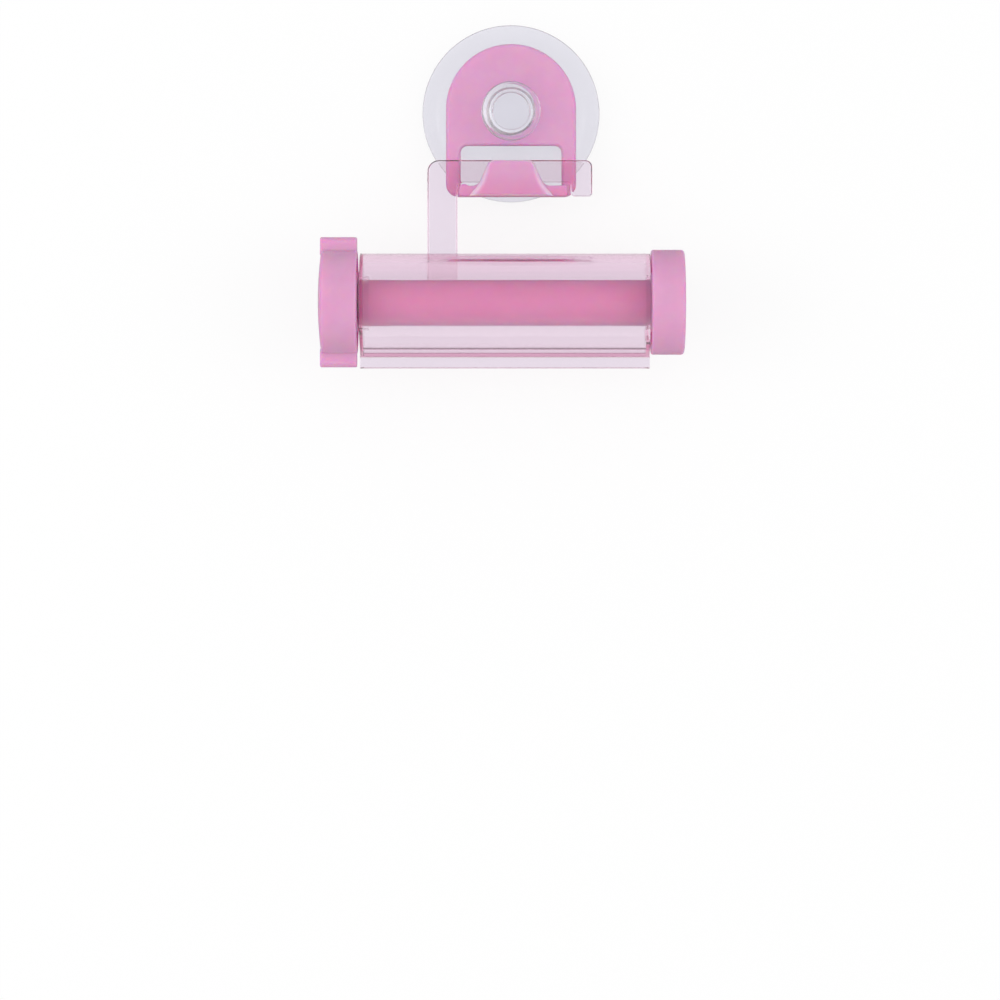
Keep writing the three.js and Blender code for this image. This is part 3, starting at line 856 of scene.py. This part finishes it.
HANGER_OUTLINE = [
    (ARM_LEFT, ARM_FOOT, 0),
    (ARM_RIGHT, ARM_FOOT, 0),
    (ARM_RIGHT, BAR_BOTTOM, 1.45),
    (LUG_LEFT, BAR_BOTTOM, 0.8),
    (LUG_LEFT, LUG_BOTTOM, 1),
    (LUG_RIGHT, LUG_BOTTOM, 1),
    (LUG_RIGHT, BAR_TOP, 1.8),
    (ARM_LEFT, BAR_TOP, 3),
]
EJECTOR_MARK = (-17.65, -31.4)
EJECTOR_RADIUS = 1.25
EJECTOR_DEPTH = 0.12


def clockwise_bar(outline, left, right, edge=0):
    """A clockwise outline drawn about the spindle's axis, made solid from one X to another."""
    return bar(from_axis(reversed(outline)), left, right, edge)


def straight_lines(points):
    return [[a, b] for a, b in zip(points, points[1:])]


def shell_section():
    """The trough's section: round from the crease over the front and top, a straight back, a floor and a lip.

    The round wall thins towards the lip. SECTION_EASING goes from the back's top round to the crease.
    """
    inner = SHELL_RADIUS - SHELL_WALL
    inner_radius = inner + INNER_DROP
    lip_inner = SHELL_WALL - LIP_FRONT
    inner_start = math.acos(inner / inner_radius) - 2 * math.pi
    inner_end = math.asin(lip_inner / inner_radius) - math.pi / 2
    outer_arc = arc(0, 0, SHELL_RADIUS, CREASE, -2 * math.pi)
    inner_arc = arc(0, -INNER_DROP, inner_radius, inner_start, inner_end)
    back_and_floor = [
        outer_arc[-1],
        (SHELL_RADIUS, FLOOR_BOTTOM),
        (FLOOR_FRONT, FLOOR_BOTTOM),
        (FLOOR_FRONT, FLOOR_TOP),
        (inner, FLOOR_TOP),
        inner_arc[0],
    ]
    lip = [inner_arc[-1], (lip_inner, LIP_BOTTOM), (-LIP_FRONT, LIP_BOTTOM), outer_arc[0]]
    segments = [outer_arc, *straight_lines(back_and_floor), inner_arc, *straight_lines(lip)]
    return blended(segments, SECTION_EASING)


def end_outline():
    """The trough's round and straight sides, closed straight across at the floor."""
    round_side = arc(0, 0, END_INSIDE, CREASE, -2 * math.pi)
    return [*round_side, (END_INSIDE, END_BOTTOM), (FLOOR_FRONT, END_BOTTOM)]


def add_left_end(shell):
    """Joins the left end wall to the trough, with a thrust face for the knob and a bearing ring inside."""
    wall_inside = HOLDER_LEFT + LEFT_WALL
    join(shell, clockwise_bar(end_outline(), HOLDER_LEFT, wall_inside, LEFT_WALL_EDGE))
    profile = [
        (0, HOLDER_LEFT - THRUST_HEIGHT),
        (THRUST_RADIUS, HOLDER_LEFT - THRUST_HEIGHT),
        (THRUST_RADIUS + THRUST_SLOPE, HOLDER_LEFT + JOINED),
        (BEARING_RADIUS, HOLDER_LEFT + JOINED),
        (BEARING_RADIUS, wall_inside + BEARING_LENGTH),
        (0, wall_inside + BEARING_LENGTH),
    ]
    join(shell, turned(profile, ROD_SEGMENTS, about_spindle))


def add_right_end(shell):
    """Joins a rim to the trough's open right end, and a bearing ring with the bracket that carries it."""
    outside = HOLDER_RIGHT - SHELL_EDGE
    rim = clockwise_bar(end_outline(), HOLDER_RIGHT - END_RIM_LENGTH, outside)
    cut(rim, rod(SHELL_RADIUS - SHELL_WALL - END_RIM_WIDTH, HOLDER_LEFT, HOLDER_RIGHT))
    join(shell, rim)
    join(shell, rod(BEARING_RADIUS, HOLDER_RIGHT - RIGHT_BEARING_LENGTH, HOLDER_RIGHT))
    bracket = [
        (0, -BRACKET_HALF_HEIGHT),
        (END_INSIDE, -BRACKET_HALF_HEIGHT),
        (END_INSIDE, BRACKET_HALF_HEIGHT),
        (0, BRACKET_HALF_HEIGHT),
    ]
    join(shell, bar(from_axis(bracket), HOLDER_RIGHT - BRACKET_WIDTH, outside))


def add_hanger(shell):
    """Joins the hanger to the trough's back: an arm, a bar along the top and a lug at the bar's end."""
    outline = rounded_outline(HANGER_OUTLINE)
    join(shell, slab(outline, HANGER_BACK, HANGER_FRONT, HANGER_BACK_EDGE, far_edge=HANGER_FRONT_EDGE))


def holder_shell():
    shell = clockwise_bar(shell_section(), HOLDER_LEFT, HOLDER_RIGHT, SHELL_EDGE)
    add_left_end(shell)
    add_right_end(shell)
    add_hanger(shell)
    cut(shell, rod(BORE_RADIUS, HOLDER_LEFT - PAST, HOLDER_RIGHT + PAST))
    mark = circle(EJECTOR_MARK, EJECTOR_RADIUS)
    cut(shell, slab(mark, HANGER_FRONT - EJECTOR_DEPTH, HANGER_FRONT + PAST))
    place_piece(shell, "tinted_holder", "holder_shell", "holder", TINTED)


# Winding key and end cap

SPINDLE_RADIUS = (SPINDLE_HIGH.z - SPINDLE_LOW.z) / 2
SPINDLE_BEVEL = 0.4
TANG_SIDE = 7.2
TANG_LENGTH = 6
TANG_ROOT = 1
PRONG_TIP_RADIUS = 5.2
PRONG_TIP_LENGTH = 5.4
SLOT_HALF_WIDTH = 1
SLOT_START = -30
SLOT_REACH = 1.5 * SPINDLE_RADIUS
DISC_EDGE = 0.9
DISC_BEVEL = 0.3
DISC_FACE = 2.2
HUB_RADIUS = 7.4
RIM_WIDTH = 1.9
CORE_DRAFT = 0.25
SOCKET_DEPTH = 6.5
KNOB_RADIUS = 13
KNOB_DOME = 0.75
WING_HALF_WIDTH = 2.5
WING_THICKNESS = 9.2
WING_ROOT = 1.4
WING_CORNER = 1.8
WING_EDGE = 0.35
CAP_RADIUS = (CAP_HIGH.z - CAP_LOW.z) / 2
CAP_DOME = 0.35
WEB_START = 1.2
WEB_ROOT = 0.5


def split_spindle():
    left = SPINDLE_LOW.x + TANG_LENGTH
    right = SPINDLE_HIGH.x
    shoulder = right - PRONG_TIP_LENGTH
    profile = [
        (0, left),
        (SPINDLE_RADIUS - SPINDLE_BEVEL, left),
        (SPINDLE_RADIUS, left + SPINDLE_BEVEL),
        (SPINDLE_RADIUS, shoulder),
        (PRONG_TIP_RADIUS, shoulder),
        (PRONG_TIP_RADIUS, right - SPINDLE_BEVEL),
        (PRONG_TIP_RADIUS - SPINDLE_BEVEL, right),
        (0, right),
    ]
    spindle = turned(profile, ROD_SEGMENTS, about_spindle)
    join(spindle, block(left - TANG_LENGTH, left + TANG_ROOT, TANG_SIDE, TANG_SIDE))
    round_end = arc(SLOT_START, AXIS_Y, SLOT_HALF_WIDTH, math.pi / 2, 3 * math.pi / 2)
    slot = [*round_end, (right + PAST, AXIS_Y - SLOT_HALF_WIDTH), (right + PAST, AXIS_Y + SLOT_HALF_WIDTH)]
    cut(spindle, slab(slot, AXIS_Z - SLOT_REACH, AXIS_Z + SLOT_REACH, place=top_view))
    # The spindle takes the pink with painted shade
    place_piece(spindle, "pink_split_spindle", "split_spindle", "winding_key", SHADED_PINK)


def cored_disc(face, outward, radius, thickness, dome):
    """Domed disc, cored out behind its rim round a central hub. outward is -1 or 1 along X."""
    shoulder = thickness - dome
    core_depth = shoulder - DISC_FACE
    flat_radius = radius - DISC_EDGE
    corner = arc(flat_radius, shoulder - DISC_EDGE, DISC_EDGE, 0, math.pi / 2)
    shares = [1 - i / CROWN_STEPS for i in range(1, CROWN_STEPS + 1)]
    profile = [
        (0, 0),
        (HUB_RADIUS, 0),
        (HUB_RADIUS + CORE_DRAFT, core_depth),
        (radius - RIM_WIDTH - CORE_DRAFT, core_depth),
        (radius - RIM_WIDTH, 0),
        (radius - DISC_BEVEL, 0),
        (radius, DISC_BEVEL),
        *corner,
        *((flat_radius * share, thickness - dome * share**2) for share in shares),
    ]
    return turned([(r, face + outward * t) for r, t in profile], DISC_SEGMENTS, about_spindle)


def wing(sign, near):
    """One of the knob's wings: the upper one for 1, the lower one for -1."""
    foot = sign * (KNOB_RADIUS - WING_ROOT)
    tip = sign * (KNOB_HIGH.z - AXIS_Z)
    half_width = sign * WING_HALF_WIDTH
    outline = rounded_outline(
        [
            (-half_width, foot, 0),
            (half_width, foot, 0),
            (half_width, tip, WING_CORNER),
            (-half_width, tip, WING_CORNER),
        ]
    )
    return bar(from_axis(outline), near, near + WING_THICKNESS, WING_EDGE)


def winding_knob():
    face = KNOB_HIGH.x
    knob = cored_disc(face, -1, KNOB_RADIUS, face - KNOB_LOW.x, KNOB_DOME)
    for sign in (-1, 1):
        join(knob, wing(sign, face - JOINED - WING_THICKNESS))
    socket = TANG_SIDE + 2 * GAP
    cut(knob, block(face - SOCKET_DEPTH, face + PAST, socket, socket))
    place_piece(knob, "pink_winding_knob", "winding_knob", "winding_key", PINK)


def end_cap():
    face = CAP_LOW.x
    cap = cored_disc(face, 1, CAP_RADIUS, CAP_HIGH.x - face, CAP_DOME)
    socket_radius = PRONG_TIP_RADIUS + GAP
    socket_end = face + SOCKET_DEPTH
    cut(cap, rod(socket_radius, face - PAST, socket_end))
    web_thickness = 2 * (SLOT_HALF_WIDTH - GAP)
    web_height = 2 * (socket_radius + WEB_ROOT)
    join(cap, block(face + WEB_START, socket_end + WEB_ROOT, web_thickness, web_height))
    place_piece(cap, "pink_end_cap", "end_cap", "cap", PINK)


# Stage: a white wall that shows only from its front, soft light all round, two weak side lamps and the camera

PHOTO_SIZE = 1000
CAMERA_DISTANCE = 1200
CAMERA_X = -2.8
CAMERA_Z = -98.2
PIXELS_PER_MM_AT_WALL = 3.93
SENSOR = 36
LAMPS = {
    "left": {"place": (-1.05, -0.85, -0.06), "size": 0.9, "power": 4},
    "right": {"place": (1.05, -0.85, -0.1), "size": 0.9, "power": 3},
}
LAMP_TARGET = Vector((0, -0.02, -0.035))

# Light levels: FILL on surfaces, GLOSS in reflections, SHOWN through clear parts. Stops are place and level
FILL_FRONT = 1.25
FILL_EDGE = 0.32
GLOSS_AHEAD = 0.5
GLOSS_RING = [(0.55, 0), (0.95, 1)]
GLOSS_SIDE = (-0.85, 0, -0.53)
GLOSS_AROUND = [(0.1, 0.4), (0.3, 0), (0.7, 1.4), (0.92, 3.2)]
SHOWN_STOPS = [(0.1, 0.9), (0.4, 0.2), (0.6, 0.2), (0.9, 0.9)]

WALL_HALF_SIZE = 3000
WALL_BEHIND_CUP = 0.4
WALL_GLOW = 0.82
WALL_PAINT = (0.85, 0.85, 0.85)
WALL_WHITE = (1, 1, 1)
WALL_SHADE = (0.885, 0.905, 0.975)
WALL_BOUNCE = (0.45, 0.45, 0.45)
WALL_SEEN = [(WALL_WHITE, ("Is Camera Ray", "Is Glossy Ray")), (WALL_SHADE, ("Is Transmission Ray",))]


def wall_paint():
    """White paint: most of its white is steady where it is seen, the rest takes the object's shadow.

    It throws less light back on the object, as a wall further away would. Right behind clear parts it lies in
    their soft, slightly blue shade.
    """
    material, tree = new_material("white_wall")
    paint = add_node(tree, "ShaderNodeBsdfDiffuse", Color=(*WALL_PAINT, 1)).outputs["BSDF"]
    front = add_node(tree, "ShaderNodeBsdfDiffuse", Color=(*WALL_BOUNCE, 1)).outputs["BSDF"]
    for colour, rays in WALL_SEEN:
        glow = add_node(tree, "ShaderNodeEmission", Color=(*colour, 1)).outputs["Emission"]
        seen = mixed(tree, WALL_GLOW, paint, glow)
        front = mixed(tree, ray_is(tree, *rays), front, seen)
    gone = add_node(tree, "ShaderNodeBsdfTransparent").outputs["BSDF"]
    behind = add_node(tree, "ShaderNodeNewGeometry").outputs["Backfacing"]
    set_output(tree, mixed(tree, behind, front, gone))
    return material


def wall():
    build = bmesh.new()
    corners = [(-1, -1), (1, -1), (1, 1), (-1, 1)]
    build.faces.new(
        [build.verts.new((x * WALL_HALF_SIZE, WALL_BEHIND_CUP, z * WALL_HALF_SIZE)) for x, z in corners]
    )
    made = new_object("wall", build)
    made.data.materials.append(wall_paint())


def vector_math(tree, operation, vector, other=(0, 0, 0)):
    """The outputs of a sum on a direction and a fixed vector."""
    node = add_node(tree, "ShaderNodeVectorMath", operation=operation)
    tree.links.new(vector, node.inputs[0])
    node.inputs[1].default_value = other
    return node.outputs


def gloss_light(tree, direction):
    """What gloss sees: an even level ahead, and more at the sides, most of all at the lower left."""
    aside = vector_math(tree, "MULTIPLY", direction, (1, 0, 1))["Vector"]
    ring = levels(tree, vector_math(tree, "LENGTH", aside)["Value"], GLOSS_RING)
    turn = spread_over(tree, vector_math(tree, "DOT_PRODUCT", direction, GLOSS_SIDE)["Value"], (-1, 1))
    return computed(tree, "MULTIPLY_ADD", ring, levels(tree, turn, GLOSS_AROUND), GLOSS_AHEAD)


def world_light():
    """Soft light, strongest from the front. Gloss and clear parts see pale sides and a darker middle."""
    world = bpy.data.worlds.new("studio")
    world.use_nodes = True
    tree = world.node_tree
    tree.nodes.clear()
    direction = coordinates(tree, "Generated")
    parts = separated(tree, direction)
    shown = levels(tree, spread_over(tree, parts["X"], (-1, 1)), SHOWN_STOPS)
    level = spread_over(tree, parts["Y"], (-1, 0), (FILL_FRONT, FILL_EDGE))
    gloss = gloss_light(tree, direction)
    for ray, seen in (("Is Glossy Ray", gloss), ("Is Transmission Ray", shown), ("Is Camera Ray", 1)):
        level = spread_over(tree, ray_is(tree, ray), (0, 1), (level, seen))
    background = add_node(tree, "ShaderNodeBackground", Color=(1, 1, 1, 1))
    tree.links.new(level, background.inputs["Strength"])
    out = add_node(tree, "ShaderNodeOutputWorld")
    tree.links.new(background.outputs["Background"], out.inputs["Surface"])
    bpy.context.scene.world = world


def lamp(name, place, size, power):
    """A round soft light that faces the object."""
    data = bpy.data.lights.new(name, "AREA")
    data.shape = "DISK"
    data.size = size
    data.energy = power
    light = bpy.data.objects.new(name, data)
    light.location = place
    light.rotation_euler = (LAMP_TARGET - light.location).to_track_quat("-Z", "Y").to_euler()
    bpy.context.scene.collection.objects.link(light)


def camera():
    data = bpy.data.cameras.new("camera")
    data.sensor_width = SENSOR
    data.lens = SENSOR * PIXELS_PER_MM_AT_WALL * CAMERA_DISTANCE / PHOTO_SIZE
    made = bpy.data.objects.new("camera", data)
    made.location = Vector((CAMERA_X, -CAMERA_DISTANCE, CAMERA_Z)) * MM
    made.rotation_euler = (math.pi / 2, 0, 0)
    bpy.context.scene.collection.objects.link(made)
    bpy.context.scene.camera = made


camera()
suction_cup()
hook_plate()
holder_shell()
split_spindle()
winding_knob()
end_cap()
wall()
world_light()
for name, settings in LAMPS.items():
    lamp(name, **settings)
bpy.context.scene.view_settings.view_transform = "Standard"
